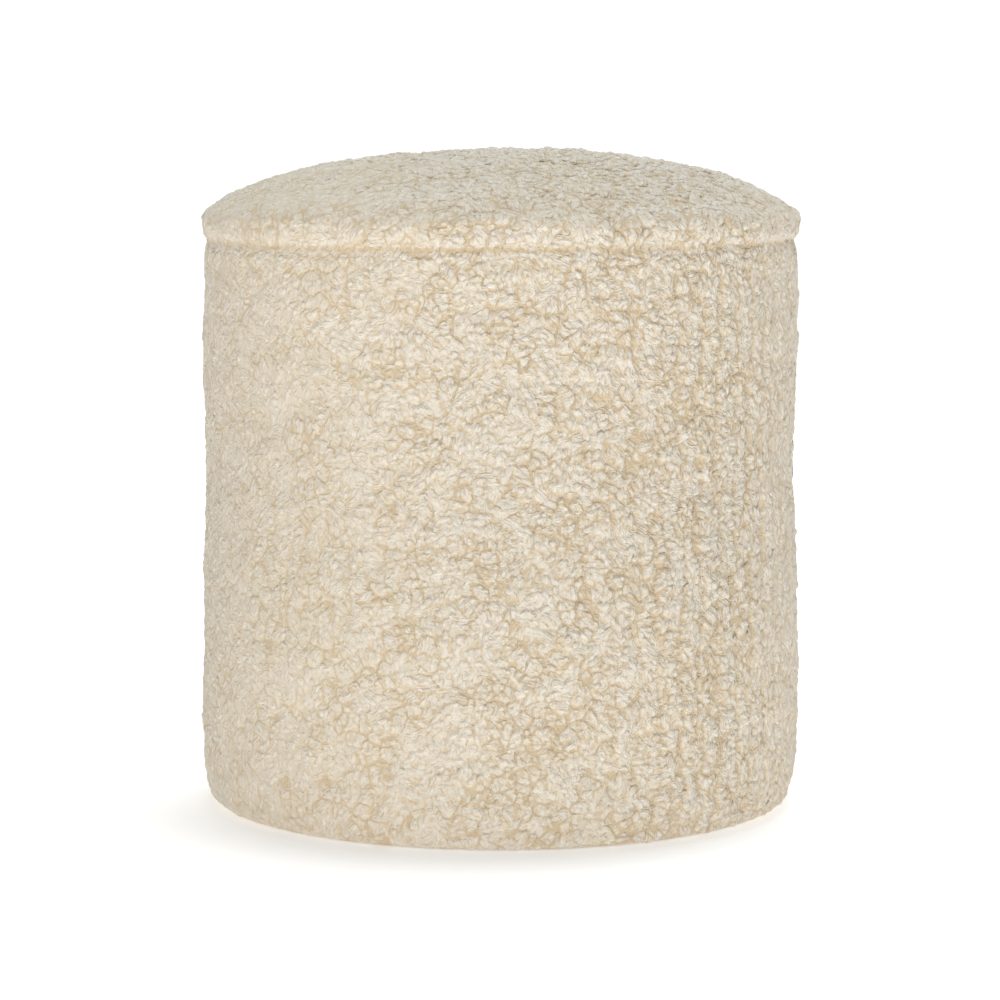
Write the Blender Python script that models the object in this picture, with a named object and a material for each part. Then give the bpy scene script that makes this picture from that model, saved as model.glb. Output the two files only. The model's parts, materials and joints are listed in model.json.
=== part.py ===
"""A round pouf in curly wool pile: a crowned top panel with a rolled rim, a tall side panel and a base panel.

Metres, +Z up. The origin is the middle of the face that the pouf rests on.
Each panel is one filled solid, cut from its neighbours along the seam that joins them.
Every size is to the outside of the pile, because the pile is what shows and what is touched.
"""

import math

import bmesh
import bpy
from mathutils import Vector, noise

# Driving sizes of the whole pouf
HEIGHT = 0.437
RIM_RADIUS = 0.2012

# The seam between the top panel and the side panel
SEAM_HEIGHT = 0.3765
SEAM_RADIUS = 0.1952
SEAM_GAP = 0.0003

# The crown is the cap of a flat ellipsoid
CROWN_HALF_WIDTH = 0.214
CROWN_HALF_HEIGHT = 0.0607
CROWN_EDGE_RADIUS = 0.1885
CROWN_RINGS = 18

# The base panel lies in a shallow recess, inside the roll that the side panel makes under its foot
BASE_RADIUS = 0.1820
BASE_THICKNESS = 0.0040
FOOT_LIFT = 0.0005

# Radius of the side panel at some heights, from the foot to the seam
WALL_OUTLINE = (
    {"height": 0.0005, "radius": 0.1922},
    {"height": 0.0036, "radius": 0.1954},
    {"height": 0.0105, "radius": 0.1984},
    {"height": 0.0220, "radius": 0.2012},
    {"height": 0.0450, "radius": 0.2022},
    {"height": 0.0950, "radius": 0.2021},
    {"height": 0.1550, "radius": 0.2011},
    {"height": 0.2350, "radius": 0.1985},
    {"height": 0.3200, "radius": 0.1994},
    {"height": 0.3600, "radius": 0.1986},
    {"height": 0.3710, "radius": 0.1976},
    {"height": 0.3762, "radius": SEAM_RADIUS},
)

# The rolled rim of the top panel, from the seam to the valley beside the crown
RIM_OUTLINE = (
    {"height": 0.3770, "radius": SEAM_RADIUS},
    {"height": 0.3795, "radius": 0.1988},
    {"height": 0.3845, "radius": 0.2006},
    {"height": 0.3905, "radius": RIM_RADIUS},
    {"height": 0.3955, "radius": 0.2004},
    {"height": 0.3985, "radius": 0.1972},
    {"height": 0.3994, "radius": 0.1930},
    {"height": 0.4016, "radius": 0.1906},
)

# Places where the filling stands a little out or in
BULGES = (
    {"x": 0.070, "y": 0.100, "z": 0.425, "spread": 0.080, "rise": 0.0022},
    {"x": 0.200, "y": 0.000, "z": 0.345, "spread": 0.050, "rise": 0.0022},
    {"x": 0.200, "y": 0.000, "z": 0.195, "spread": 0.045, "rise": -0.0012},
    {"x": -0.200, "y": 0.000, "z": 0.350, "spread": 0.030, "rise": -0.0016},
    {"x": -0.200, "y": 0.000, "z": 0.295, "spread": 0.040, "rise": 0.0010},
    {"x": -0.020, "y": 0.200, "z": 0.260, "spread": 0.080, "rise": 0.0016},
)

# How finely the solids are faceted
COLUMNS = 96
WALL_ROW = 0.0105
RIM_ROW = 0.0042

# Relief: tufts of pile, and the slow unevenness of a filled cover
TUFT_PITCH = 0.026
TUFT_DEPTH = 0.0021
SAG_PITCH = 0.160
SAG_DEPTH = 0.0010
FADE_LENGTH = 0.010
NOISE_SHIFT = Vector((3.7, 1.9, 5.3))

PILE_COLOUR = (0.72, 0.64, 0.51, 1.0)
PILE_ROUGHNESS = 0.95
BASE_COLOUR = (0.56, 0.50, 0.41, 1.0)
BASE_ROUGHNESS = 0.90


def clear_scene():
    for obj in list(bpy.data.objects):
        bpy.data.objects.remove(obj)


def make_material(name, colour, roughness):
    material = bpy.data.materials.new(name)
    material.use_nodes = True
    shader = material.node_tree.nodes["Principled BSDF"]
    shader.inputs["Base Color"].default_value = colour
    shader.inputs["Roughness"].default_value = roughness
    shader.inputs["Metallic"].default_value = 0.0
    return material


def smooth_outline(rows, step):
    """Points (radius, height) about one step apart on a smooth curve through the rows of an outline."""
    knots = [Vector((row["radius"], row["height"])) for row in rows]
    first = 2 * knots[0] - knots[1]
    last = 2 * knots[-1] - knots[-2]
    knots = [first, *knots, last]
    points = []
    for before, start, end, after in zip(knots, knots[1:], knots[2:], knots[3:]):
        pieces = max(1, round((end - start).length / step))
        for i in range(pieces):
            points.append(catmull_rom(before, start, end, after, i / pieces))
    points.append(knots[-2])
    return points


def catmull_rom(before, start, end, after, t):
    """The point at share t of the way from start to end, on a curve that also heeds the points beside them."""
    slope_in = (end - before) / 2
    slope_out = (after - start) / 2
    return (
        (2 * t**3 - 3 * t**2 + 1) * start
        + (t**3 - 2 * t**2 + t) * slope_in
        + (3 * t**2 - 2 * t**3) * end
        + (t**3 - t**2) * slope_out
    )


def crown_outline():
    """Points (radius, height) over the crown, from its edge to just short of the middle."""
    points = []
    for i in range(CROWN_RINGS):
        radius = CROWN_EDGE_RADIUS * (1 - i / CROWN_RINGS)
        points.append(Vector((radius, crown_height(radius))))
    return points


def crown_height(radius):
    drop = 1 - math.sqrt(1 - (radius / CROWN_HALF_WIDTH) ** 2)
    return HEIGHT - CROWN_HALF_HEIGHT * drop


def fade(distance):
    """From 0 at a seam or edge to 1 at one fade length from it."""
    share = min(1.0, max(0.0, distance / FADE_LENGTH))
    return share * share * (3 - 2 * share)


def relief(place):
    """How far the pile stands in or out at a place on the cover."""
    tufts = noise.noise(place / TUFT_PITCH + NOISE_SHIFT)
    sag = noise.noise(place / SAG_PITCH - NOISE_SHIFT)
    return TUFT_DEPTH * tufts + SAG_DEPTH * sag + bulge(place)


def bulge(place):
    total = 0.0
    for row in BULGES:
        away = (place - Vector((row["x"], row["y"], row["z"]))).length / row["spread"]
        total += row["rise"] * math.exp(-away * away)
    return total


def ring(mesh, radius, height):
    """A level circle of vertices."""
    turns = [2 * math.pi * i / COLUMNS for i in range(COLUMNS)]
    return [mesh.verts.new((radius * math.cos(a), radius * math.sin(a), height)) for a in turns]


def stack(mesh, outline):
    """Rings up an outline with faces between them. Returns the first and the last ring."""
    rings = [ring(mesh, radius, height) for radius, height in outline]
    for lower, upper in zip(rings, rings[1:]):
        for i in range(COLUMNS):
            j = (i + 1) % COLUMNS
            mesh.faces.new((lower[i], lower[j], upper[j], upper[i]))
    return rings[0], rings[-1]


def close(mesh, edge, height, upwards):
    """Fills a ring with a fan about a middle vertex."""
    middle = mesh.verts.new((0, 0, height))
    for i in range(COLUMNS):
        j = (i + 1) % COLUMNS
        corners = (edge[i], edge[j], middle)
        mesh.faces.new(corners if upwards else corners[::-1])


def raise_pile(mesh, distance_to_edge):
    """Moves each vertex along its normal by the relief, fading out towards the panel's edges."""
    mesh.normal_update()
    moves = []
    for vertex in mesh.verts:
        amount = relief(vertex.co) * fade(distance_to_edge(vertex.co))
        moves.append((vertex, vertex.normal * amount))
    for vertex, move in moves:
        vertex.co += move


def finish(name, mesh, material):
    bmesh.ops.recalc_face_normals(mesh, faces=mesh.faces)
    bmesh.ops.triangulate(mesh, faces=mesh.faces)
    data = bpy.data.meshes.new(name)
    mesh.to_mesh(data)
    mesh.free()
    data.materials.append(material)
    data.shade_smooth()
    data.set_sharp_from_angle(angle=math.radians(40))
    obj = bpy.data.objects.new(name, data)
    bpy.context.scene.collection.objects.link(obj)
    return obj


def make_side_panel(material):
    """The side panel with its filling: a tall drum, a little waisted, that rolls under at the foot."""
    mesh = bmesh.new()
    recess_top = BASE_THICKNESS + SEAM_GAP
    recess_radius = BASE_RADIUS + SEAM_GAP
    recess = [Vector((recess_radius, recess_top)), Vector((recess_radius, FOOT_LIFT))]
    wall = smooth_outline(WALL_OUTLINE, WALL_ROW)
    bottom, top = stack(mesh, recess + wall)
    close(mesh, bottom, recess_top, upwards=False)
    close(mesh, top, WALL_OUTLINE[-1]["height"], upwards=True)

    def distance_to_edge(place):
        if math.hypot(place.x, place.y) < (BASE_RADIUS + SEAM_RADIUS) / 2:
            return 0.0
        return min(place.z - FOOT_LIFT, SEAM_HEIGHT - place.z)

    raise_pile(mesh, distance_to_edge)
    return finish("side_panel", mesh, material)


def make_top_panel(material):
    """The top panel with its filling: a rolled rim that stands proud of the side, and a crown."""
    mesh = bmesh.new()
    rim = smooth_outline(RIM_OUTLINE, RIM_ROW)
    crown = crown_outline()
    bottom, top = stack(mesh, rim + crown)
    close(mesh, bottom, RIM_OUTLINE[0]["height"], upwards=False)
    close(mesh, top, HEIGHT, upwards=True)
    raise_pile(mesh, lambda place: place.z - RIM_OUTLINE[0]["height"])
    return finish("top_panel", mesh, material)


def make_base_panel(material):
    """The base panel: a plain cloth disc under the filling."""
    mesh = bmesh.new()
    disc = [Vector((BASE_RADIUS, 0.0)), Vector((BASE_RADIUS, BASE_THICKNESS))]
    bottom, top = stack(mesh, disc)
    close(mesh, bottom, 0.0, upwards=False)
    close(mesh, top, BASE_THICKNESS, upwards=True)
    return finish("base_panel", mesh, material)


def main():
    clear_scene()
    pile = make_material("curly_pile", PILE_COLOUR, PILE_ROUGHNESS)
    base_cloth = make_material("base_cloth", BASE_COLOUR, BASE_ROUGHNESS)
    make_side_panel(pile)
    make_top_panel(pile)
    make_base_panel(base_cloth)


main()
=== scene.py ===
"""A round pouf in curly wool pile: padded cloth under thousands of small wool curls, on a pale studio floor.

Metres, +Z up. Each curl is a small closed body, scattered over the cloth and bent to it by Geometry Nodes.
"""

import json
import math

import bmesh
import bpy
import numpy as np
from bpy.props import FloatProperty, FloatVectorProperty, IntProperty, PointerProperty
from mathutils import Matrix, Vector

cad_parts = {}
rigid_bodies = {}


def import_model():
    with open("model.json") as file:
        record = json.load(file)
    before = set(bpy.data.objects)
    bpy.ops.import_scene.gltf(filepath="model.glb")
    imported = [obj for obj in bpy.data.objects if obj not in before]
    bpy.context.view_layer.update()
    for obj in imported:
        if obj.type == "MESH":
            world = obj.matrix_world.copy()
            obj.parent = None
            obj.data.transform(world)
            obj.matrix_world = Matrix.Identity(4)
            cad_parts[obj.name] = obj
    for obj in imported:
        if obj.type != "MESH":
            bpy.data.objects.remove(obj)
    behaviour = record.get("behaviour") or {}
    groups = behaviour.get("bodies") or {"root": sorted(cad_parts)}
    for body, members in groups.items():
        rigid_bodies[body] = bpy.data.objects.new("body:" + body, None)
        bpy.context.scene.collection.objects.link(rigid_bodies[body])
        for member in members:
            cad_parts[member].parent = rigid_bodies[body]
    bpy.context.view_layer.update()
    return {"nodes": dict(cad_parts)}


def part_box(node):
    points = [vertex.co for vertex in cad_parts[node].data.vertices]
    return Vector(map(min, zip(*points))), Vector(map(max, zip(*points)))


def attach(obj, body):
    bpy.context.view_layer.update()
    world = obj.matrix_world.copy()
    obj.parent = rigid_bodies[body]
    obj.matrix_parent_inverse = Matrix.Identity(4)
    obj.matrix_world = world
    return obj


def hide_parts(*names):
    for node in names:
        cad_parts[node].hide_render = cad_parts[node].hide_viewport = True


bl_info = {
    "name": "Curly Pile Pouf",
    "version": (1, 0, 0),
    "blender": (4, 5, 0),
    "location": "3D View > Sidebar > Pouf",
    "description": "Dresses a round pouf in padded cloth and curly wool pile",
    "category": "Object",
}

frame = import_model()
RIM_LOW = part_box("top_panel")[0].z
WALL_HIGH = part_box("side_panel")[1].z
BASE_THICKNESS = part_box("base_panel")[1].z

# Shapes of single curls of wool, each a low pad with its fibres running along it. A bend is in degrees.
CURL_SHAPES = (
    {"name": "0_comma", "length": 0.0094, "width": 0.0048, "height": 0.0015, "bend": 140, "taper": 0.30},
    {"name": "1_bow", "length": 0.0098, "width": 0.0046, "height": 0.0013, "bend": 90, "taper": 0.00},
    {"name": "2_crumb", "length": 0.0068, "width": 0.0054, "height": 0.0016, "bend": 20, "taper": 0.15},
    {"name": "3_comma_left", "length": 0.0096, "width": 0.0046, "height": 0.0015, "bend": -150, "taper": 0.25},
    {"name": "4_bow_left", "length": 0.0090, "width": 0.0050, "height": 0.0013, "bend": -90, "taper": 0.05},
    {"name": "5_drop", "length": 0.0080, "width": 0.0050, "height": 0.0016, "bend": 45, "taper": 0.45},
    {"name": "6_flake", "length": 0.0094, "width": 0.0056, "height": 0.0011, "bend": -35, "taper": -0.20},
    {"name": "7_hook", "length": 0.0106, "width": 0.0042, "height": 0.0014, "bend": 185, "taper": 0.20},
    {"name": "8_knob", "length": 0.0062, "width": 0.0054, "height": 0.0018, "bend": 5, "taper": 0.00},
)
CURL_SIDES = 8
CURL_SINK = 0.0006
FIBRE_PITCH = 0.0021
CURL_WARP_SCALE = 210.0
CURL_WARP_REACH = 0.006

# The bake's map is a square of cells, one for each curl, and a curl reaches this far from its cell's middle
BAKE_CELLS = 70.0
CELL_REACH = 0.46

# Clumps of curls, domed, with furrows between them
CLUMP_SCALE = 95.0
CLUMP_WARP_SCALE = 70.0
CLUMP_WARP_REACH = 0.009
DOME_MIDDLE = 0.42
DOME_DEPTH = 0.0030
SWELL_DEPTH = 0.0009

# Upright rows in the pile towards the right: how many go round, and how far the slow noise bends them
ROPE_ROWS = 76.0
ROPE_WANDER = 9.0
ROPE_DEPTH = 0.0012

# The seam wanders by this much. Its line of painted shade and its dip are full and gone at these distances
# from it.
SEAM_WANDER = 0.005
SEAM_SHADE_LINE = (0.0003, 0.0022)
SEAM_DIP = (0.0005, 0.0050)
SEAM_DEPTH = 0.0012

# The lip of the rim, where tufts stand proud
LIP_HEIGHT = 0.3930
LIP_REACH = 0.011
LIP_RISE = 0.0020

# Beside the seam the cloths fill its groove out to the valley's radius
VALLEY_RADIUS = 0.1974
GROOVE_INSIDE = 0.19
GROOVE_REACH = 0.012

# The pile starts between two radii at the foot, and inside the hidden radius another panel covers the cloths
GROWS_FROM = 0.180
GROWS_FULL = 0.186
HIDDEN_RADIUS = 0.181

# The recess under the foot, where the side cloth lies over the base panel and is held still
RECESS_RADIUS = 0.1835
RECESS_WALL = 0.1832
HELD_RADIUS = 0.184
HELD_BAND = 0.012
FOOT_LIFT = 0.0005
BASE_GAP = 0.0004
FLOOR_GAP = 0.0003

CLOTH_STEPS = 20

# The band of pile that bridges the seam: its outline across the seam, and its inner radius
SEAM_BAND = (
    {"above_seam": -0.0080, "radius": 0.1958},
    {"above_seam": -0.0045, "radius": 0.1968},
    {"above_seam": -0.0015, "radius": 0.1967},
    {"above_seam": 0.0010, "radius": 0.1968},
    {"above_seam": 0.0035, "radius": 0.1977},
    {"above_seam": 0.0070, "radius": 0.1978},
)
BAND_INSIDE = 0.1900
BAND_COLUMNS = 240


class PoufClothSizes(bpy.types.PropertyGroup):
    pile_depth: FloatProperty(
        name="Pile Depth", description="How far the cloth lies under the outside of the pile",
        default=0.0008, min=0.0, max=0.02, unit="LENGTH",
    )
    swell: FloatProperty(
        name="Swell", description="The most that the filling may push the cloth out",
        default=0.0008, min=0.0, max=0.01, unit="LENGTH",
    )
    pressure: FloatProperty(
        name="Filling Pressure", description="Pressure of the filling on the cloth",
        default=4.0, min=0.0, max=20.0,
    )
    voxel: FloatProperty(
        name="Cloth Mesh", description="Size of the cloth's faces",
        default=0.0052, min=0.003, max=0.01, unit="LENGTH",
    )


class PoufPileSizes(bpy.types.PropertyGroup):
    spacing: FloatProperty(
        name="Curl Spacing", description="Least distance between the roots of two curls",
        default=0.0034, min=0.003, max=0.03, unit="LENGTH",
    )
    size: FloatProperty(
        name="Curl Size", description="Size of the curls against their modelled size",
        default=1.0, min=0.3, max=3.0, subtype="FACTOR",
    )
    seed: IntProperty(name="Seed", description="Seed of the scatter", default=11, min=0)


class PoufColours(bpy.types.PropertyGroup):
    crest: FloatVectorProperty(
        name="Crest", description="Wool on top of a curl",
        subtype="COLOR", size=3, default=(0.80, 0.75, 0.665),
    )
    tip: FloatVectorProperty(
        name="Tip", description="What the palest curls lean to",
        subtype="COLOR", size=3, default=(0.84, 0.80, 0.73),
    )
    # The root colour is the tan of the painted shade deep between the curls and clumps
    root: FloatVectorProperty(
        name="Root", description="Wool deep between the curls",
        subtype="COLOR", size=3, default=(0.65, 0.52, 0.35),
    )
    canvas: FloatVectorProperty(
        name="Canvas", description="Cloth under the foot",
        subtype="COLOR", size=3, default=(0.56, 0.50, 0.41),
    )


class PoufStage(bpy.types.PropertyGroup):
    camera_distance: FloatProperty(
        name="Camera Distance", description="From the camera to the pouf's axis",
        default=2.337, unit="LENGTH",
    )
    camera_aside: FloatProperty(
        name="Camera Aside", description="From the pouf's axis sideways to the camera",
        default=-0.0003, unit="LENGTH",
    )
    camera_height: FloatProperty(
        name="Camera Height", description="Of the camera above the floor",
        default=0.452, unit="LENGTH",
    )
    camera_pitch: FloatProperty(
        name="Camera Pitch", description="How far the camera looks down",
        default=math.radians(6.11), subtype="ANGLE",
    )
    camera_lens: FloatProperty(
        name="Lens", description="Focal length in millimetres", default=125.3,
    )
    ambient: FloatProperty(
        name="Ambient", description="Strength of the light from all round", default=0.18,
    )
    key: FloatProperty(
        name="Key Light", description="Power of the large front light", default=40.0, unit="POWER",
    )
    top: FloatProperty(
        name="Top Light", description="Power of the overhead light", default=46.0, unit="POWER",
    )
    floor_glow: FloatProperty(
        name="Floor Glow", description="How bright the floor is by itself", default=0.58,
    )


class Wire:
    """A value that leaves a node. Arithmetic on it adds Math nodes to its tree."""

    def __init__(self, graph, socket):
        self.graph = graph
        self.socket = socket

    def other(self, name):
        """Another output of the same node."""
        return Wire(self.graph, self.graph.pick(self.socket.node.outputs, name))

    def _math(self, operation, first, second):
        return self.graph.node("ShaderNodeMath", {"operation": operation}, {0: first, 1: second})

    def __add__(self, value):
        return self._math("ADD", self, value)

    def __radd__(self, value):
        return self._math("ADD", value, self)

    def __sub__(self, value):
        return self._math("SUBTRACT", self, value)

    def __rsub__(self, value):
        return self._math("SUBTRACT", value, self)

    def __mul__(self, value):
        return self._math("MULTIPLY", self, value)

    def __rmul__(self, value):
        return self._math("MULTIPLY", value, self)

    def __truediv__(self, value):
        return self._math("DIVIDE", self, value)

    def __rtruediv__(self, value):
        return self._math("DIVIDE", value, self)

    def __mod__(self, value):
        return self._math("MODULO", self, value)

    def __pow__(self, value):
        return self._math("POWER", self, value)

    def __lt__(self, value):
        return self._math("LESS_THAN", self, value)

    def __gt__(self, value):
        return self._math("GREATER_THAN", self, value)

    def least(self, value):
        return self._math("MINIMUM", self, value)

    def most(self, value):
        return self._math("MAXIMUM", self, value)

    def cosine(self):
        return self._math("COSINE", self, 0.0)

    def floor(self):
        return self._math("FLOOR", self, 0.0)

    def ramp(self, start, end):
        """From 0 at start to 1 at end, eased at both ends."""
        return self.graph.node(
            "ShaderNodeMapRange", {"interpolation_type": "SMOOTHSTEP"},
            {"Value": self, "From Min": start, "From Max": end, "To Min": 0.0, "To Max": 1.0},
        )


class Graph:
    """Adds nodes to one node tree."""

    def __init__(self, tree):
        self.tree = tree

    @staticmethod
    def pick(sockets, key):
        if isinstance(key, int):
            return sockets[key]
        return next(s for s in sockets if s.name == key and s.enabled)

    def node(self, kind, settings=None, inputs=None, output=None):
        """Adds a node, sets its settings, then its inputs, and returns one of its outputs."""
        made = self.tree.nodes.new(kind)
        for name, value in (settings or {}).items():
            setattr(made, name, value)
        for key, value in (inputs or {}).items():
            socket = self.pick(made.inputs, key)
            if isinstance(value, Wire):
                self.tree.links.new(value.socket, socket)
            else:
                socket.default_value = value
        if not made.outputs:
            return None
        if output is None:
            return Wire(self, next(s for s in made.outputs if s.enabled))
        return Wire(self, self.pick(made.outputs, output))

    def mix_colour(self, share, first, second, blend="MIX"):
        return self.node(
            "ShaderNodeMix", {"data_type": "RGBA", "blend_type": blend},
            {0: share, 6: solid(first), 7: solid(second)}, 2,
        )

    def vector(self, x, y, z):
        return self.node("ShaderNodeCombineXYZ", None, {0: x, 1: y, 2: z})

    def vector_math(self, operation, first, second=(0.0, 0.0, 0.0)):
        return self.node("ShaderNodeVectorMath", {"operation": operation}, {0: first, 1: second})

    def scaled(self, vector, amount):
        return self.node("ShaderNodeVectorMath", {"operation": "SCALE"}, {0: vector, "Scale": amount})

    def noise(self, place, scale, detail=2.0, roughness=0.5):
        return self.node(
            "ShaderNodeTexNoise", None,
            {"Vector": place, "Scale": scale, "Detail": detail, "Roughness": roughness}, "Fac",
        )


def solid(colour):
    """A colour as four numbers. A wire stays a wire."""
    return colour if isinstance(colour, Wire) else (*tuple(colour)[:3], 1.0)


def material_graph(name):
    material = bpy.data.materials.new(name)
    material.use_nodes = True
    material.node_tree.nodes.clear()
    return material, Graph(material.node_tree)


def finish_material(graph, inputs):
    shader = graph.node("ShaderNodeBsdfPrincipled", None, inputs)
    graph.node("ShaderNodeOutputMaterial", None, {"Surface": shader})


def shifted(graph, place, scale, reach):
    """A place moved about by a soft noise."""
    noise = graph.node("ShaderNodeTexNoise", None, {"Vector": place, "Scale": scale, "Detail": 1.0}, "Color")
    shift = graph.scaled(graph.vector_math("SUBTRACT", noise, (0.5, 0.5, 0.5)), reach)
    return graph.vector_math("ADD", place, shift)


def cell_value(graph, place, scale, feature, output):
    return graph.node("ShaderNodeTexVoronoi", {"feature": feature}, {"Vector": place, "Scale": scale}, output)


def clump_spot(graph, place):
    """The place in the pattern of clumps, whose cells are warped a little."""
    return shifted(graph, place, CLUMP_WARP_SCALE, CLUMP_WARP_REACH)


def liveliness(graph, place):
    """How strongly the pile is curled at a place: less towards the left, and least at both flanks."""
    side = graph.node("ShaderNodeSeparateXYZ", None, {0: place})
    return 0.5 + 0.5 * side.ramp(-0.17, 0.02) * (1.0 - 0.8 * side.ramp(0.14, 0.19))


def fibre_way(graph, place):
    """The direction across the fibres of the clump at a place.

    Towards the right the fibres stand more upright.
    """
    colour = cell_value(graph, clump_spot(graph, place), CLUMP_SCALE, "F1", "Color")
    chance = graph.vector_math("SUBTRACT", colour, (0.5, 0.5, 0.5))
    side = graph.node("ShaderNodeSeparateXYZ", None, {0: place})
    sideways = graph.scaled((0.5, 0.85, 0.0), side.ramp(0.10, 0.19) * 0.5)
    return graph.vector_math("NORMALIZE", graph.vector_math("ADD", chance, sideways))


def wander_noise(graph, place):
    """The slow noise by which furrows come and go, and by which rows and the seam wander."""
    return graph.noise(place, 48.0, 1.0)


def rope_gap(graph, place, wander):
    """How deep the pile dips, from 0 to 1, between the upright rows that it forms towards the right."""
    side = graph.node("ShaderNodeSeparateXYZ", None, {0: place})
    turn = graph.node("ShaderNodeMath", {"operation": "ARCTAN2"}, {0: side.other("Y"), 1: side})
    rows = 0.5 + 0.5 * (turn * ROPE_ROWS + wander * ROPE_WANDER).cosine()
    right = side.ramp(0.02, 0.12) * (1.0 - 0.6 * side.ramp(0.17, 0.195))
    wall = right * (1.0 - side.other("Z").ramp(0.35, 0.375))
    return rows ** 4.0 * wall


def seam_gap(graph, place, wander, low, high):
    """How deep the pile dips along the seam: 1 within low of the seam, and 0 past high."""
    height = graph.node("ShaderNodeSeparateXYZ", None, {0: place}).other("Z")
    above = height + (wander - 0.5) * SEAM_WANDER - RIM_LOW
    away = graph.node("ShaderNodeMath", {"operation": "ABSOLUTE"}, {0: above})
    return 1.0 - away.ramp(low, high)


def wool_pattern(graph, place, crumb):
    """How much painted shade the wool takes at a place, from 0 to 1, the heights of its fibres and pits, and
    where it parts.

    Crumb is how strongly it is broken into crumbs. The way attribute is the direction across the fibres.
    """
    spot = clump_spot(graph, place)
    lively = liveliness(graph, place)
    curl = shifted(graph, place, CURL_WARP_SCALE, CURL_WARP_REACH)
    way = graph.node("ShaderNodeAttribute", {"attribute_name": "way"}, None, "Vector")
    across = graph.vector_math("DOT_PRODUCT", curl, way).other("Value")
    fine = graph.noise(place, 700.0, 2.0, 0.6)
    ridge = 0.5 + 0.5 * (across * (2 * math.pi / FIBRE_PITCH) + fine * 3.0).cosine()
    edge = cell_value(graph, spot, CLUMP_SCALE, "DISTANCE_TO_EDGE", "Distance")
    wander = wander_noise(graph, place)
    gate = wander.ramp(0.36, 0.62)
    furrow = (1.0 - edge.ramp(0.0, 0.12)) * gate + rope_gap(graph, place, wander) * 0.45
    hollow = cell_value(graph, curl, 230.0, "F1", "Distance").ramp(0.35, 0.85) * crumb
    seam = seam_gap(graph, place, wander, *SEAM_SHADE_LINE) * (0.30 + 0.70 * gate)
    # Painted shade, tan: in the furrows between clumps and rows, in the pits, in the valleys between fibres
    # and along the seam. The fine grain darkens the bump's low spots too.
    dark = furrow * 1.05 + hollow * 0.55 + (1.0 - ridge) * 0.32 + (0.4 - fine) * 0.5 + seam * 1.2
    fibres = (ridge * 0.45 + fine * 0.5) * lively
    pits = (hollow * 0.8 + furrow * 0.6) * lively

    # Calmer pile gets an even light painted shade, so that it isn't paler than the curled pile beside it
    painted_shade = 0.08 + (1.0 - lively) * 0.46 + dark * lively
    return painted_shade, fibres, pits, gate


def painted_bounce_at_foot(graph, place, wool):
    """The wool's colour with painted light from the floor's bounce: a little paler low on the pouf."""
    height = graph.node("ShaderNodeSeparateXYZ", None, {0: place}).other("Z")
    return graph.mix_colour(1.0 - height.ramp(0.04, 0.20), wool, (1.09, 1.09, 1.09), "MULTIPLY")


def wool_material(colours):
    """Curly wool with painted shade: pale on top of each curl and tan where it dives between its neighbours.
    """
    material, graph = material_graph("curly_wool")
    fibre = graph.node("ShaderNodeAttribute", {"attribute_name": "fibre"}, None, "Vector")
    crest = graph.node("ShaderNodeAttribute", {"attribute_name": "crest"}, None, "Fac")
    tone = graph.node("ShaderNodeAttribute", {"attribute_name": "tone"}, None, "Fac")
    place = graph.node("ShaderNodeTexCoord", None, None, "Object")
    across = graph.node("ShaderNodeSeparateXYZ", None, {0: fibre})
    hair = graph.noise(
        graph.vector(across * 750.0, across.other("Y") * 260.0, tone * 37.0), 1.0, 2.0, 0.6,
    ).ramp(0.32, 0.62)
    dark, fibres, pits, gate = wool_pattern(graph, place, 0.6)
    # Painted shade: tan at each curl's rim, where it sinks among its neighbours, and in the low gaps between
    # its hairs
    rim = (1.0 - crest) ** 1.8
    dark = dark * 0.85 + rim * (0.12 + gate * 0.38) + (0.55 - hair) * 0.26
    wool = graph.mix_colour(dark.least(1.0).most(0.0), colours.crest, colours.root)
    wool = painted_bounce_at_foot(graph, place, graph.mix_colour(tone * 0.16, wool, colours.tip))

    # The rim of a curl is lit like the ground that it sinks into, so that no outline shows
    ground = graph.node("ShaderNodeAttribute", {"attribute_name": "ground"}, None, "Vector")
    ground = graph.node(
        "ShaderNodeVectorTransform",
        {"vector_type": "NORMAL", "convert_from": "OBJECT", "convert_to": "WORLD"},
        {"Vector": ground},
    )
    own = graph.node("ShaderNodeNewGeometry", None, None, "Normal")
    soft = graph.vector_math("ADD", graph.scaled(own, crest), graph.scaled(ground, 1.0 - crest))
    normal = graph.node(
        "ShaderNodeBump", None,
        {"Strength": 1.0, "Distance": 0.0007, "Height": fibres + hair * 0.30 - pits * 0.6,
         "Normal": graph.vector_math("NORMALIZE", soft)},
    )
    finish_material(graph, {
        "Base Color": wool, "Roughness": 0.85, "Specular IOR Level": 0.25,
        "Sheen Weight": 0.20, "Sheen Roughness": 0.55, "Normal": normal,
    })
    return material


def ground_material(colours):
    """The pile's ground between the curls: short wool in swirls of parallel fibres. It is made once."""
    made = bpy.data.materials.get("pile_ground")
    if made is not None:
        return made
    material, graph = material_graph("pile_ground")
    place = graph.node("ShaderNodeTexCoord", None, None, "Object")
    dark, fibres, pits, _ = wool_pattern(graph, place, 1.0)
    # The ground lies under the curls, so it takes a little more painted shade
    wool = graph.mix_colour((dark + 0.06).least(1.0).most(0.0), colours.crest, colours.root)
    wool = painted_bounce_at_foot(graph, place, wool)
    normal = graph.node(
        "ShaderNodeBump", None, {"Strength": 1.0, "Distance": 0.0008, "Height": fibres - pits},
    )
    finish_material(graph, {
        "Base Color": wool, "Roughness": 0.85, "Specular IOR Level": 0.25,
        "Sheen Weight": 0.20, "Sheen Roughness": 0.55, "Normal": normal,
    })
    return material


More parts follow.
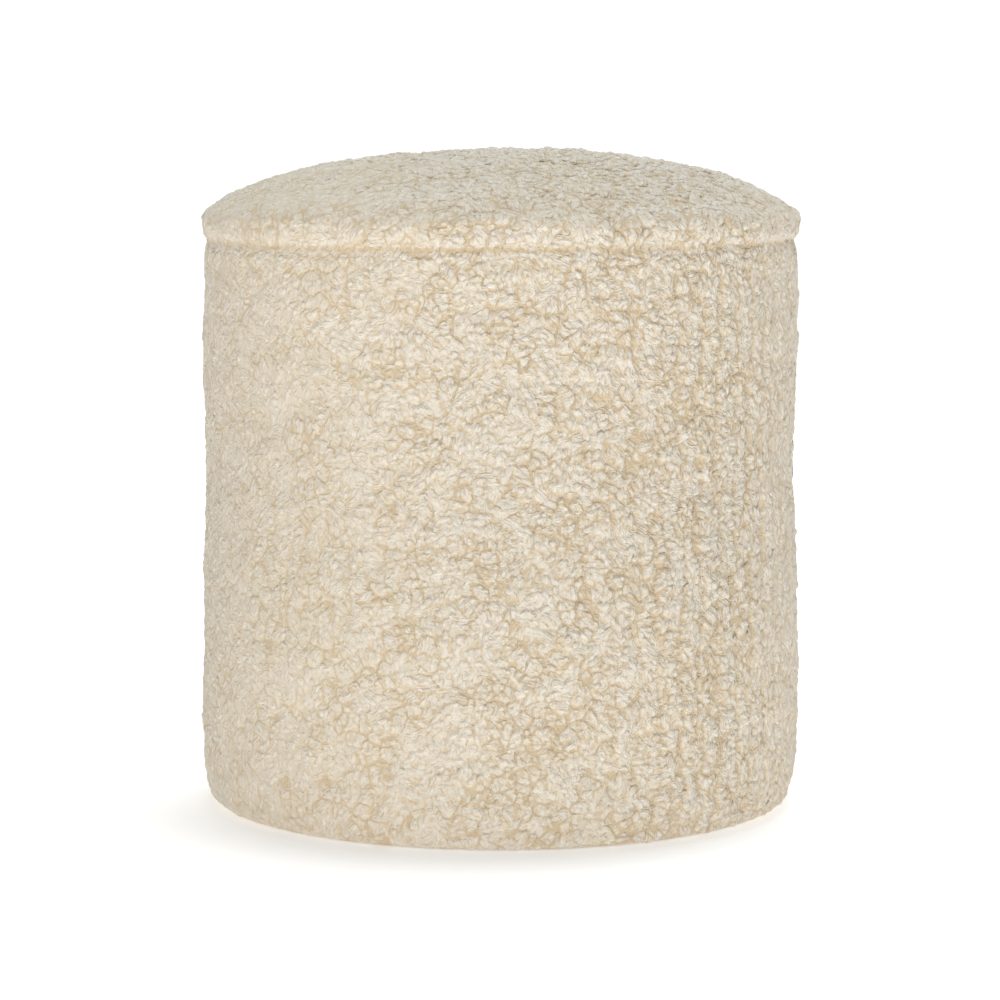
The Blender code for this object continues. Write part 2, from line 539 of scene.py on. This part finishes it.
def canvas_material(colours):
    """Plain woven canvas, with its yarns along X and Y."""
    material, graph = material_graph("base_canvas")
    place = graph.node("ShaderNodeTexCoord", None, None, "Object")
    split = graph.node("ShaderNodeSeparateXYZ", None, {0: place})
    yarn = 2 * math.pi / 0.0012
    warp = 0.5 + 0.5 * (split * yarn).cosine()
    weft = 0.5 + 0.5 * (split.other("Y") * yarn).cosine()
    over = 0.5 + 0.5 * (split * (yarn / 2)).cosine() * (split.other("Y") * (yarn / 2)).cosine()
    weave = warp * over + weft * (1.0 - over)
    slub = graph.noise(place, 120.0, 3.0)
    dust = graph.noise(place, 9.0, 3.0)
    dark = tuple(0.72 * c for c in colours.canvas)
    cloth = graph.mix_colour(weave * 0.6 + slub * 0.4, dark, colours.canvas)
    cloth = graph.mix_colour(dust.ramp(0.4, 0.8) * 0.2, cloth, dark)
    normal = graph.node(
        "ShaderNodeBump", None, {"Strength": 0.6, "Distance": 0.0004, "Height": weave + slub * 0.3},
    )
    finish_material(graph, {
        "Base Color": cloth, "Roughness": 0.9, "Specular IOR Level": 0.2, "Normal": normal,
    })
    return material


def new_object(name, mesh):
    made = bpy.data.objects.new(name, mesh)
    bpy.context.scene.collection.objects.link(made)
    return made


def drop_object(unwanted):
    mesh = unwanted.data
    bpy.data.objects.remove(unwanted)
    if mesh is not None and mesh.users == 0:
        bpy.data.meshes.remove(mesh)


def settle(obj):
    """Replaces an object's mesh by what its modifiers make of it."""
    depsgraph = bpy.context.evaluated_depsgraph_get()
    shown = obj.evaluated_get(depsgraph)
    mesh = bpy.data.meshes.new_from_object(shown, preserve_all_data_layers=True, depsgraph=depsgraph)
    obj.modifiers.clear()
    old = obj.data
    obj.data = mesh
    bpy.data.meshes.remove(old)
    mesh.name = obj.name


def points_of(mesh):
    places = np.empty(len(mesh.vertices) * 3, np.float32)
    mesh.vertices.foreach_get("co", places)
    return places.reshape(-1, 3)


def normals_of(mesh):
    normals = np.empty(len(mesh.vertices) * 3, np.float32)
    mesh.vertices.foreach_get("normal", normals)
    return normals.reshape(-1, 3)


def set_points(mesh, places):
    mesh.vertices.foreach_set("co", places.astype(np.float32).ravel())
    mesh.update()


def padded_cloth(name, node, sizes, prepare, held):
    """A filled cloth body a pile's depth inside a CAD solid. held says which points the seams hold still."""
    mesh = frame["nodes"][node].data.copy()
    mesh.name = name
    shape = bmesh.new()
    shape.from_mesh(mesh)
    bmesh.ops.remove_doubles(shape, verts=shape.verts, dist=0.00002)
    shape.normal_update()
    depth = sizes.pile_depth + 0.5 * sizes.swell
    moves = [prepare(vertex.co, vertex.normal * depth) for vertex in shape.verts]
    for vertex, place in zip(shape.verts, moves):
        vertex.co = place
    shape.to_mesh(mesh)
    shape.free()
    cloth = new_object(name, mesh)
    remesh = cloth.modifiers.new("remesh", "REMESH")
    remesh.mode = "VOXEL"
    remesh.voxel_size = sizes.voxel
    settle(cloth)
    fixed = held(points_of(cloth.data))
    swell_cloth(cloth, sizes, fixed)
    finer = cloth.modifiers.new("finer", "SUBSURF")
    finer.levels = 1
    finer.render_levels = 1
    settle(cloth)
    cloth.data.shade_smooth()
    return cloth


def fill_groove(place):
    """Moves a point beside the seam out, because the pile nearly fills the groove there."""
    radius = math.hypot(place.x, place.y)
    if radius < GROOVE_INSIDE or abs(place.z - RIM_LOW) > GROOVE_REACH:
        return place
    out = max(1.0, VALLEY_RADIUS / radius)
    return Vector((place.x * out, place.y * out, place.z))


def swell_cloth(cloth, sizes, fixed):
    """Lets the filling press the cloth out between its seams."""
    start = points_of(cloth.data)
    group = cloth.vertex_groups.new(name="seams")
    group.add([int(i) for i in np.nonzero(fixed)[0]], 1.0, "REPLACE")
    modifier = cloth.modifiers.new("cloth", "CLOTH")
    modifier.settings.vertex_group_mass = "seams"
    modifier.settings.use_pressure = True
    modifier.settings.uniform_pressure_force = sizes.pressure
    modifier.settings.effector_weights.gravity = 0.0
    modifier.settings.quality = 4
    modifier.point_cache.frame_start = 1
    modifier.point_cache.frame_end = CLOTH_STEPS
    for step in range(1, CLOTH_STEPS + 1):
        bpy.context.scene.frame_set(step)
    settle(cloth)
    bpy.context.scene.frame_set(1)
    cloth.vertex_groups.clear()
    move = points_of(cloth.data) - start
    length = np.linalg.norm(move, axis=1, keepdims=True)
    move *= np.minimum(1.0, sizes.swell / np.maximum(length, 1e-9))
    set_points(cloth.data, start + move)


def store(mesh, name, values):
    attribute = mesh.attributes.new(name, "FLOAT", "POINT")
    attribute.data.foreach_set("value", values.astype(np.float32))


def curl_point(shape, along, across):
    """A point of a curl's flat shape.

    Along and across run from -1 to 1 over its bent length and its width.
    """
    bend = math.radians(shape["bend"]) / 2
    half = shape["length"] / 2
    aside = across * shape["width"] / 2 * (1 - shape["taper"] * along)
    x = half * math.sin(bend * along) / bend - math.sin(bend * along) * aside
    y = half * (1 - math.cos(bend * along)) / bend + math.cos(bend * along) * aside
    return Vector((x, y, 0.0))


def make_curl(shape):
    """One curl of wool: a low pad whose rim is sunk in the pile around it.

    Its fibre map runs across it (U) and along it (V), in metres. The crest attribute is 1 on its top.
    """
    body = bmesh.new()
    fibre = body.loops.layers.uv.new("fibre")
    cell = body.loops.layers.uv.new("cell")
    crest = body.verts.layers.float.new("crest")
    rows = (
        {"share": 1.0, "rise": -CURL_SINK, "crest": 0.0},
        {"share": 0.58, "rise": 0.66 * shape["height"], "crest": 0.75},
        {"share": 0.0, "rise": shape["height"], "crest": 1.0},
    )
    flat = {}
    rings = []
    for row in rows:
        ring = []
        for i in range(CURL_SIDES if row["share"] > 0 else 1):
            angle = 2 * math.pi * i / CURL_SIDES
            along = row["share"] * math.cos(angle)
            across = row["share"] * math.sin(angle)
            vertex = body.verts.new(curl_point(shape, along, across) + Vector((0.0, 0.0, row["rise"])))
            vertex[crest] = row["crest"]
            flat[vertex] = (along, across)
            ring.append(vertex)
        rings.append(ring)
    rim, shoulder, (top,) = rings
    for i in range(CURL_SIDES):
        j = (i + 1) % CURL_SIDES
        body.faces.new((rim[i], rim[j], shoulder[j], shoulder[i]))
        body.faces.new((shoulder[i], shoulder[j], top))
    for face in body.faces:
        face.smooth = True
        for loop in face.loops:
            along, across = flat[loop.vert]
            loop[fibre].uv = (across * shape["width"] / 2, along * shape["length"] / 2)
            loop[cell].uv = (0.5 + CELL_REACH * along, 0.5 + CELL_REACH * across)
    body.faces.new(rim[::-1])
    mesh = bpy.data.meshes.new("curl_" + shape["name"])
    body.to_mesh(mesh)
    body.free()
    return mesh


def relief_offset(graph, place, normal):
    """How the pile stands in or out: domed clumps, upright rows, tufts at the lip and a slow unevenness.

    All of it is calm at the seam and the foot, and the seam has a dip of its own.
    """
    height = graph.node("ShaderNodeSeparateXYZ", None, {0: place}).other("Z")
    seam = graph.node("ShaderNodeMath", {"operation": "ABSOLUTE"}, {0: height - RIM_LOW})
    calm = seam.ramp(0.002, 0.010) * height.ramp(0.0, 0.010)
    slow = graph.noise(place, 62.0, 2.0) - 0.5
    dome = graph.node(
        "ShaderNodeTexVoronoi", {"feature": "SMOOTH_F1"},
        {"Vector": clump_spot(graph, place), "Scale": CLUMP_SCALE, "Smoothness": 0.35}, "Distance",
    )
    wander = wander_noise(graph, place)
    domes = (DOME_MIDDLE - dome) * DOME_DEPTH * liveliness(graph, place)
    clumps = domes - rope_gap(graph, place, wander) * ROPE_DEPTH
    from_lip = graph.node("ShaderNodeMath", {"operation": "ABSOLUTE"}, {0: height - LIP_HEIGHT})
    at_lip = 1.0 - from_lip.ramp(0.0, LIP_REACH)
    tufts = at_lip * graph.noise(place, 75.0, 1.0).ramp(0.45, 0.65) * LIP_RISE
    dip = seam_gap(graph, place, wander, *SEAM_DIP) * SEAM_DEPTH
    return graph.scaled(normal, (slow * (2 * SWELL_DEPTH) + clumps + tufts) * calm - dip)


def sample_cloth(graph, cloth, value, spots):
    """A cloth's value at the points of its surface nearest to some spots."""
    return graph.node(
        "GeometryNodeSampleNearestSurface", {"data_type": "FLOAT_VECTOR"},
        {"Mesh": cloth, "Value": value, "Sample Position": spots},
    )


def keep(graph, geometry, domain, name, value, kind="FLOAT_VECTOR"):
    """Keeps a value in a geometry as a named attribute."""
    return graph.node(
        "GeometryNodeStoreNamedAttribute", {"data_type": kind, "domain": domain},
        {"Geometry": geometry, "Name": name, "Value": value},
    )


def kept(graph, name):
    """A vector that was kept as a named attribute."""
    return graph.node("GeometryNodeInputNamedAttribute", {"data_type": "FLOAT_VECTOR"}, {"Name": name})


def clump_tree():
    """The node tree that presses the furrows between the clumps into a cloth."""
    tree = bpy.data.node_groups.new("cloth_clumps", "GeometryNodeTree")
    tree.interface.new_socket("Cloth", in_out="OUTPUT", socket_type="NodeSocketGeometry")
    for name, kind in (("Cloth", "NodeSocketGeometry"), ("Material", "NodeSocketMaterial")):
        tree.interface.new_socket(name, in_out="INPUT", socket_type=kind)
    graph = Graph(tree)
    given = graph.node("NodeGroupInput", None, None, "Cloth")
    place = graph.node("GeometryNodeInputPosition")
    offset = relief_offset(graph, place, graph.node("GeometryNodeInputNormal"))
    cloth = keep(graph, given, "FACE", "way", fibre_way(graph, place))
    cloth = graph.node("GeometryNodeSetPosition", None, {"Geometry": cloth, "Offset": offset})
    cloth = graph.node("GeometryNodeRealizeInstances", None, {"Geometry": cloth})
    material = given.other("Material")
    cloth = graph.node("GeometryNodeSetMaterial", None, {"Geometry": cloth, "Material": material})
    graph.node("NodeGroupOutput", None, {0: cloth})
    return tree


def press_clumps(cloth, material):
    """Keeps the smooth cloth for the pile's roots, and presses the furrows into the cloth that shows."""
    roots = cloth.data.copy()
    roots.name = cloth.name + "_roots"
    modifier = cloth.modifiers.new("clumps", "NODES")
    modifier.node_group = clump_tree()
    set_inputs(modifier, {"Material": material})
    settle(cloth)
    cloth.data.attributes.remove(cloth.data.attributes["grows"])


def plane_down(cloth, hidden):
    """Gives a cloth a few large faces where it is flat and another panel hides it."""
    shape = bmesh.new()
    shape.from_mesh(cloth.data)
    unseen = [face for face in shape.faces if all(hidden(vertex.co) for vertex in face.verts)]
    bmesh.ops.delete(shape, geom=unseen, context="FACES")
    rims = [edge for edge in shape.edges if edge.is_boundary]
    filled = bmesh.ops.holes_fill(shape, edges=rims, sides=0)["faces"]
    bmesh.ops.triangulate(shape, faces=filled)
    bmesh.ops.recalc_face_normals(shape, faces=shape.faces)
    shape.to_mesh(cloth.data)
    shape.free()


def random_value(graph, low, high, seed, kind="FLOAT"):
    return graph.node(
        "FunctionNodeRandomValue", {"data_type": kind}, {"Min": low, "Max": high, "Seed": seed},
    )


def pile_tree(curls, wool):
    """The node tree that scatters curls over a cloth and lays them down in clumps."""
    tree = bpy.data.node_groups.new("curly_pile", "GeometryNodeTree")
    tree.interface.new_socket("Pile", in_out="OUTPUT", socket_type="NodeSocketGeometry")
    sockets = (
        ("Cloth", "NodeSocketGeometry"), ("Spacing", "NodeSocketFloat"), ("Size", "NodeSocketFloat"),
        ("Turn From", "NodeSocketFloat"), ("Turn To", "NodeSocketFloat"), ("Lowest", "NodeSocketFloat"),
        ("Cells", "NodeSocketFloat"), ("Seed", "NodeSocketInt"), ("Ground", "NodeSocketObject"),
    )
    for name, kind in sockets:
        tree.interface.new_socket(name, in_out="INPUT", socket_type=kind)
    graph = Graph(tree)
    given = graph.node("NodeGroupInput", None, None, "Cloth")
    seed = given.other("Seed")

    # Roots, an even distance apart, in one slice of the pouf
    grows = graph.node("GeometryNodeInputNamedAttribute", {"data_type": "FLOAT"}, {"Name": "grows"})
    roots = graph.node(
        "GeometryNodeDistributePointsOnFaces", {"distribute_method": "POISSON"},
        {"Mesh": given, "Distance Min": given.other("Spacing"), "Density Max": 60000.0,
         "Density Factor": grows, "Seed": seed},
    )
    place = graph.node("GeometryNodeInputPosition")
    spot = graph.node("ShaderNodeSeparateXYZ", None, {0: place})
    all_roots = keep(graph, roots, "POINT", "facing", roots.other("Normal"))
    all_roots = keep(graph, all_roots, "POINT", "root", place)
    turn = graph.node("ShaderNodeMath", {"operation": "ARCTAN2"}, {0: spot.other("Y"), 1: spot})
    outside = (turn < given.other("Turn From")) + (turn > given.other("Turn To"))
    slice_roots = graph.node(
        "GeometryNodeDeleteGeometry", {"domain": "POINT"},
        {"Geometry": all_roots, "Selection": outside > 0.5},
    )
    slice_roots = keep(graph, slice_roots, "POINT", "way", fibre_way(graph, place))

    # How each curl lies: flat on the cloth, along the fibres of its clump, a little turned by chance
    facing = kept(graph, "facing")
    way = kept(graph, "way")
    upright = graph.node(
        "FunctionNodeAxesToRotation", {"primary_axis": "Z", "secondary_axis": "Y"},
        {"Primary Axis": facing, "Secondary Axis": way},
    )
    heading = random_value(graph, -0.7, 0.7, seed)
    tilt_x = random_value(graph, -0.04, 0.04, 31)
    tilt_y = random_value(graph, -0.02, 0.02, 57)
    lean = graph.node("FunctionNodeEulerToRotation", None, {0: graph.vector(tilt_x, tilt_y, heading)})
    lying = graph.node(
        "FunctionNodeRotateRotation", {"rotation_space": "LOCAL"}, {"Rotation": upright, "Rotate By": lean},
    )

    # Size grows from the left of the pouf to the right
    bigger = 0.90 + 0.18 * spot.ramp(-0.15, 0.12)
    scale = random_value(graph, 0.80, 1.25, 5) * bigger * given.other("Size")
    tall = random_value(graph, 0.60, 1.25, 8) * liveliness(graph, place)
    size = graph.vector(scale, scale, scale * tall)
    pick = random_value(graph, 0, len(CURL_SHAPES) - 1, 3, "INT")
    shapes = graph.node(
        "GeometryNodeCollectionInfo", None,
        {"Collection": curls, "Separate Children": True, "Reset Children": True},
    )
    pile = graph.node(
        "GeometryNodeInstanceOnPoints", None,
        {"Points": slice_roots, "Instance": shapes, "Pick Instance": True, "Instance Index": pick,
         "Rotation": lying, "Scale": size},
    )
    sunk = graph.scaled(facing, random_value(graph, -0.0005, 0.0, 19))
    pile = graph.node("GeometryNodeSetPosition", None, {"Geometry": pile, "Offset": sunk})

    # A shade for each curl, and a cell of the bake's map
    pile = keep(graph, pile, "INSTANCE", "tone", random_value(graph, 0.0, 1.0, 23), "FLOAT")
    number = graph.node("GeometryNodeInputIndex")
    cells = given.other("Cells")
    corner = graph.vector(number % cells, (number / cells).floor(), 0.0)
    pile = keep(graph, pile, "INSTANCE", "corner", corner)
    pile = graph.node("GeometryNodeRealizeInstances", None, {"Geometry": pile})
    whole = graph.vector_math("ADD", kept(graph, "corner"), kept(graph, "cell"))
    whole = graph.vector_math("DIVIDE", whole, graph.vector(cells, cells, 1.0))
    pile = keep(graph, pile, "CORNER", "OFBake", whole, "FLOAT2")

    # The curls bend to the cloth under them, follow its clumps and know which way it faces
    spots = graph.node("GeometryNodeInputPosition")
    root = kept(graph, "root")
    rise =graph.vector_math("DOT_PRODUCT", graph.vector_math("SUBTRACT", spots, root), facing).other("Value")
    level = graph.vector_math("SUBTRACT", spots, graph.scaled(facing, rise))
    cloth_normal = graph.node("GeometryNodeInputNormal")
    seat = sample_cloth(graph, given, spots, level)
    skin = graph.vector_math("NORMALIZE", sample_cloth(graph, given, cloth_normal, level))
    bent = graph.vector_math("ADD", seat, graph.scaled(skin, rise))
    bent = graph.vector_math("ADD", bent, relief_offset(graph, seat, skin))
    pile = graph.node("GeometryNodeSetPosition", None, {"Geometry": pile, "Position": bent})
    under = graph.node("GeometryNodeObjectInfo", None, {"Object": given.other("Ground")}, "Geometry")
    pile = keep(graph, pile, "POINT", "ground", sample_cloth(graph, under, cloth_normal, spots))

    # The lowest curls lie flat on the floor
    at = graph.node("ShaderNodeSeparateXYZ", None, {0: graph.node("GeometryNodeInputPosition")})
    above = graph.vector(at, at.other("Y"), at.other("Z").most(given.other("Lowest")))
    pile = graph.node("GeometryNodeSetPosition", None, {"Geometry": pile, "Position": above})
    pile = graph.node("GeometryNodeSetMaterial", None, {"Geometry": pile, "Material": wool})
    graph.node("NodeGroupOutput", None, {0: pile})
    return tree


def set_inputs(modifier, values):
    """Sets a Geometry Nodes modifier's inputs by their sockets' identifiers."""
    for item in modifier.node_group.interface.items_tree:
        if item.item_type == "SOCKET" and item.in_out == "INPUT" and item.name in values:
            modifier[item.identifier] = values[item.name]


def scatter(name, roots, tree, values):
    """One slice of the pile as a plain mesh."""
    pile = new_object(name, roots.copy())
    modifier = pile.modifiers.new("pile", "NODES")
    modifier.node_group = tree
    set_inputs(modifier, values)
    settle(pile)
    for unwanted in ("facing", "root", "corner", "cell", "grows"):
        layer = pile.data.attributes.get(unwanted)
        if layer is not None:
            pile.data.attributes.remove(layer)
    return pile


def share_of(values, low, high):
    """From 0 at low to 1 at high, eased."""
    t = np.clip((values - low) / (high - low), 0, 1)
    return t * t * (3 - 2 * t)


class POUF_OT_side_cloth(bpy.types.Operator):
    """Make the padded cloth of the side panel, under its pile."""

    bl_idname = "pouf.side_cloth"
    bl_label = "Side Cloth"

    def execute(self, context):
        sizes = context.scene.pouf_cloth

        def held(places):
            radius = np.hypot(places[:, 0], places[:, 1])
            flat = radius < HELD_RADIUS
            seam = places[:, 2] > WALL_HIGH - HELD_BAND
            foot = places[:, 2] < HELD_BAND
            return flat | seam | foot

        def prepare(place, inset):
            if math.hypot(place.x, place.y) < RECESS_RADIUS:
                low = place.z < WALL_HIGH / 2
                return Vector((place.x, place.y, FOOT_LIFT if low else place.z))
            return fill_groove(place - Vector((inset.x, inset.y, 0.0)))

        def hidden(place):
            within = math.hypot(place.x, place.y) < HIDDEN_RADIUS
            return within and (place.z > 0.37 or place.z < 0.01)

        cloth = padded_cloth("side_cloth", "side_panel", sizes, prepare, held)
        places = points_of(cloth.data)
        radius = np.hypot(places[:, 0], places[:, 1])
        lowest = np.where(radius < RECESS_WALL, BASE_THICKNESS + BASE_GAP, FLOOR_GAP)
        places[:, 2] = np.clip(places[:, 2], lowest, WALL_HIGH)
        set_points(cloth.data, places)
        upward = normals_of(cloth.data)[:, 2]
        grows = share_of(radius, GROWS_FROM, GROWS_FULL) * (upward > -0.8) * (upward < 0.7)
        store(cloth.data, "grows", grows)
        press_clumps(cloth, ground_material(context.scene.pouf_colours))
        plane_down(cloth, hidden)
        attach(cloth, "root")
        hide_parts("side_panel")
        return {"FINISHED"}


class POUF_OT_top_cloth(bpy.types.Operator):
    """Make the padded cloth of the top panel, under its pile."""

    bl_idname = "pouf.top_cloth"
    bl_label = "Top Cloth"

    def execute(self, context):
        sizes = context.scene.pouf_cloth

        def held(places):
            return places[:, 2] < RIM_LOW + 0.010

        def prepare(place, inset):
            share = min(1.0, max(0.0, (place.z - RIM_LOW - 0.004) / 0.016))
            return fill_groove(place - Vector((inset.x, inset.y, inset.z * share)))

        cloth = padded_cloth("top_cloth", "top_panel", sizes, prepare, held)
        places = points_of(cloth.data)
        places[:, 2] = np.maximum(places[:, 2], RIM_LOW)
        set_points(cloth.data, places)
        normals = normals_of(cloth.data)
        store(cloth.data, "grows", 1.0 * (normals[:, 2] > -0.6))
        press_clumps(cloth, ground_material(context.scene.pouf_colours))
        plane_down(cloth, lambda co: math.hypot(co.x, co.y) < HIDDEN_RADIUS and co.z < 0.38)
        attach(cloth, "root")
        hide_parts("top_panel")
        return {"FINISHED"}


class POUF_OT_seam_band(bpy.types.Operator):
    """Make the band of pile ground that bridges the seam between the top and the side."""

    bl_idname = "pouf.seam_band"
    bl_label = "Seam Band"

    def execute(self, context):
        shape = bmesh.new()
        inside = [(BAND_INSIDE, SEAM_BAND[-1]["above_seam"]), (BAND_INSIDE, SEAM_BAND[0]["above_seam"])]
        outline = [(row["radius"], row["above_seam"]) for row in SEAM_BAND] + inside
        turns = [2 * math.pi * i / BAND_COLUMNS for i in range(BAND_COLUMNS)]
        rings = [
            [shape.verts.new((r * math.cos(a), r * math.sin(a), RIM_LOW + z)) for a in turns]
            for r, z in outline
        ]
        for ring, after in zip(rings, rings[1:] + rings[:1]):
            for i in range(BAND_COLUMNS):
                j = (i + 1) % BAND_COLUMNS
                shape.faces.new((ring[i], ring[j], after[j], after[i]))
        bmesh.ops.recalc_face_normals(shape, faces=shape.faces)
        mesh = bpy.data.meshes.new("seam_cloth")
        shape.to_mesh(mesh)
        shape.free()
        mesh.shade_smooth()
        band = new_object("seam_cloth", mesh)
        radius = np.hypot(points_of(mesh)[:, 0], points_of(mesh)[:, 1])
        store(mesh, "grows", 1.0 * (radius > BAND_INSIDE + 0.001))
        press_clumps(band, ground_material(context.scene.pouf_colours))
        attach(band, "root")
        return {"FINISHED"}


class POUF_OT_base_cloth(bpy.types.Operator):
    """Make the plain canvas disc under the foot."""

    bl_idname = "pouf.base_cloth"
    bl_label = "Base Cloth"

    def execute(self, context):
        mesh = frame["nodes"]["base_panel"].data.copy()
        mesh.name = "base_cloth"
        shape = bmesh.new()
        shape.from_mesh(mesh)
        bmesh.ops.remove_doubles(shape, verts=shape.verts, dist=0.00002)
        shape.to_mesh(mesh)
        shape.free()
        cloth = new_object("base_cloth", mesh)
        mesh.materials.clear()
        mesh.materials.append(canvas_material(context.scene.pouf_colours))
        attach(cloth, "root")
        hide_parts("base_panel")
        return {"FINISHED"}


class POUF_OT_pile(bpy.types.Operator):
    """Scatter the wool curls over the side and top cloths and the seam band."""

    bl_idname = "pouf.pile"
    bl_label = "Curly Pile"

    def execute(self, context):
        sizes = context.scene.pouf_pile
        wool = wool_material(context.scene.pouf_colours)
        curls = bpy.data.collections.new("curls")
        for shape in CURL_SHAPES:
            curls.objects.link(bpy.data.objects.new("curl_" + shape["name"], make_curl(shape)))
        tree = pile_tree(curls, wool)
        slices = {"side": 5, "top": 2, "seam": 1}
        for part, count in slices.items():
            roots = bpy.data.meshes[part + "_cloth_roots"]
            for k in range(count):
                start = -math.pi + 2 * math.pi * k / count
                end = start + 2 * math.pi / count
                pile = scatter(f"{part}_pile_{k + 1}", roots, tree, {
                    "Spacing": sizes.spacing, "Size": sizes.size, "Turn From": start, "Turn To": end,
                    "Lowest": 0.0002, "Cells": BAKE_CELLS, "Seed": sizes.seed + len(part),
                    "Ground": bpy.data.objects[part + "_cloth"],
                })
                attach(pile, "root")
        for curl in list(curls.objects):
            drop_object(curl)
        bpy.data.collections.remove(curls)
        return {"FINISHED"}


class POUF_OT_stage(bpy.types.Operator):
    """Set up the floor, the lights and the camera."""

    bl_idname = "pouf.stage"
    bl_label = "Studio Stage"

    def execute(self, context):
        stage = context.scene.pouf_stage
        floor = self.make_floor(stage)
        self.make_world(context, stage)
        self.make_light(
            "key_light", place=(-0.12, -3.1, 1.0), target=(0.0, 0.0, 0.22),
            size=2.2, power=stage.key, colour=(1.0, 0.985, 0.96),
        )
        self.make_light(
            "top_light", place=(0.2, 0.6, 2.6), target=(0.0, 0.0, 0.3),
            size=1.8, power=stage.top, colour=(0.90, 0.97, 1.0),
        )
        camera = bpy.data.objects.new("camera", bpy.data.cameras.new("camera"))
        context.scene.collection.objects.link(camera)
        camera.location = (stage.camera_aside, -stage.camera_distance, stage.camera_height)
        camera.rotation_euler = (math.pi / 2 - stage.camera_pitch, 0.0, 0.0)
        camera.data.lens = stage.camera_lens
        camera.data.sensor_width = 36.0
        context.scene.camera = camera
        context.scene.view_settings.view_transform = "Standard"
        return {"FINISHED"}

    def make_floor(self, stage):
        shape = bmesh.new()
        bmesh.ops.create_grid(shape, x_segments=1, y_segments=1, size=30.0)
        mesh = bpy.data.meshes.new("floor")
        shape.to_mesh(mesh)
        shape.free()
        floor = new_object("floor", mesh)
        material, graph = material_graph("studio_floor")
        place = graph.node("ShaderNodeTexCoord", None, None, "Object")
        spot = graph.node("ShaderNodeSeparateXYZ", None, {0: place})
        away = graph.vector_math("LENGTH", graph.vector(spot, spot.other("Y"), 0.0)).other("Value")

        # The floor glows less just in front of the foot, a painted contact shadow, and more at its right,
        # painted light that lifts the real shade there. It glows most far away.
        front = (0.0 - spot.other("Y") / away).ramp(-0.3, 0.9)
        painted_shadow_and_light = 1.0 - 0.30 * front * (1.0 - away.ramp(0.19, 0.27)) + 0.12 * (spot / away).ramp(0.1, 0.9)
        glow = painted_shadow_and_light * stage.floor_glow + 0.10 * away.ramp(0.20, 0.36) + 0.34 * away.ramp(0.5, 1.2)
        shine = graph.mix_colour(glow, (0.0, 0.0, 0.0), (1.0, 0.995, 0.98))
        finish_material(graph, {
            "Base Color": (0.72, 0.72, 0.72, 1.0), "Roughness": 1.0, "Specular IOR Level": 0.0,
            "Emission Color": shine, "Emission Strength": 1.0,
        })
        mesh.materials.append(material)
        return floor

    def make_world(self, context, stage):
        world = bpy.data.worlds.new("studio")
        world.use_nodes = True
        world.node_tree.nodes.clear()
        graph = Graph(world.node_tree)
        seen = graph.node("ShaderNodeLightPath", None, None, "Is Camera Ray")
        strength = stage.ambient + seen * (1.05 - stage.ambient)
        shader = graph.node(
            "ShaderNodeBackground", None, {"Color": (1.0, 1.0, 1.0, 1.0), "Strength": strength},
        )
        graph.node("ShaderNodeOutputWorld", None, {"Surface": shader})
        context.scene.world = world

    def make_light(self, name, place, target, size, power, colour):
        light = bpy.data.lights.new(name, "AREA")
        light.shape = "DISK"
        light.size = size
        light.energy = power
        light.color = colour
        lamp = bpy.data.objects.new(name, light)
        bpy.context.scene.collection.objects.link(lamp)
        lamp.location = place
        lamp.rotation_euler = (Vector(target) - Vector(place)).to_track_quat("-Z", "Y").to_euler()


class POUF_PT_panel(bpy.types.Panel):
    """Lists the pouf's sizes, colours and steps."""

    bl_idname = "POUF_PT_panel"
    bl_label = "Curly Pile Pouf"
    bl_space_type = "VIEW_3D"
    bl_region_type = "UI"
    bl_category = "Pouf"

    def draw(self, context):
        for group in ("pouf_cloth", "pouf_pile", "pouf_colours", "pouf_stage"):
            settings = getattr(context.scene, group)
            box = self.layout.box()
            for name in settings.__annotations__:
                box.prop(settings, name)
        for step in STEPS:
            self.layout.operator(step.bl_idname)


STEPS = (
    POUF_OT_side_cloth,
    POUF_OT_top_cloth,
    POUF_OT_seam_band,
    POUF_OT_base_cloth,
    POUF_OT_pile,
    POUF_OT_stage,
)
SETTINGS = (
    ("pouf_cloth", PoufClothSizes),
    ("pouf_pile", PoufPileSizes),
    ("pouf_colours", PoufColours),
    ("pouf_stage", PoufStage),
)


def register():
    for name, group in SETTINGS:
        bpy.utils.register_class(group)
        setattr(bpy.types.Scene, name, PointerProperty(type=group))
    for step in STEPS:
        bpy.utils.register_class(step)
    bpy.utils.register_class(POUF_PT_panel)


def unregister():
    bpy.utils.unregister_class(POUF_PT_panel)
    for step in reversed(STEPS):
        bpy.utils.unregister_class(step)
    for name, group in reversed(SETTINGS):
        delattr(bpy.types.Scene, name)
        bpy.utils.unregister_class(group)


def main():
    register()
    bpy.ops.pouf.side_cloth()
    bpy.ops.pouf.top_cloth()
    bpy.ops.pouf.seam_band()
    bpy.ops.pouf.base_cloth()
    bpy.ops.pouf.pile()
    bpy.ops.pouf.stage()


if __name__ == "__main__":
    main()
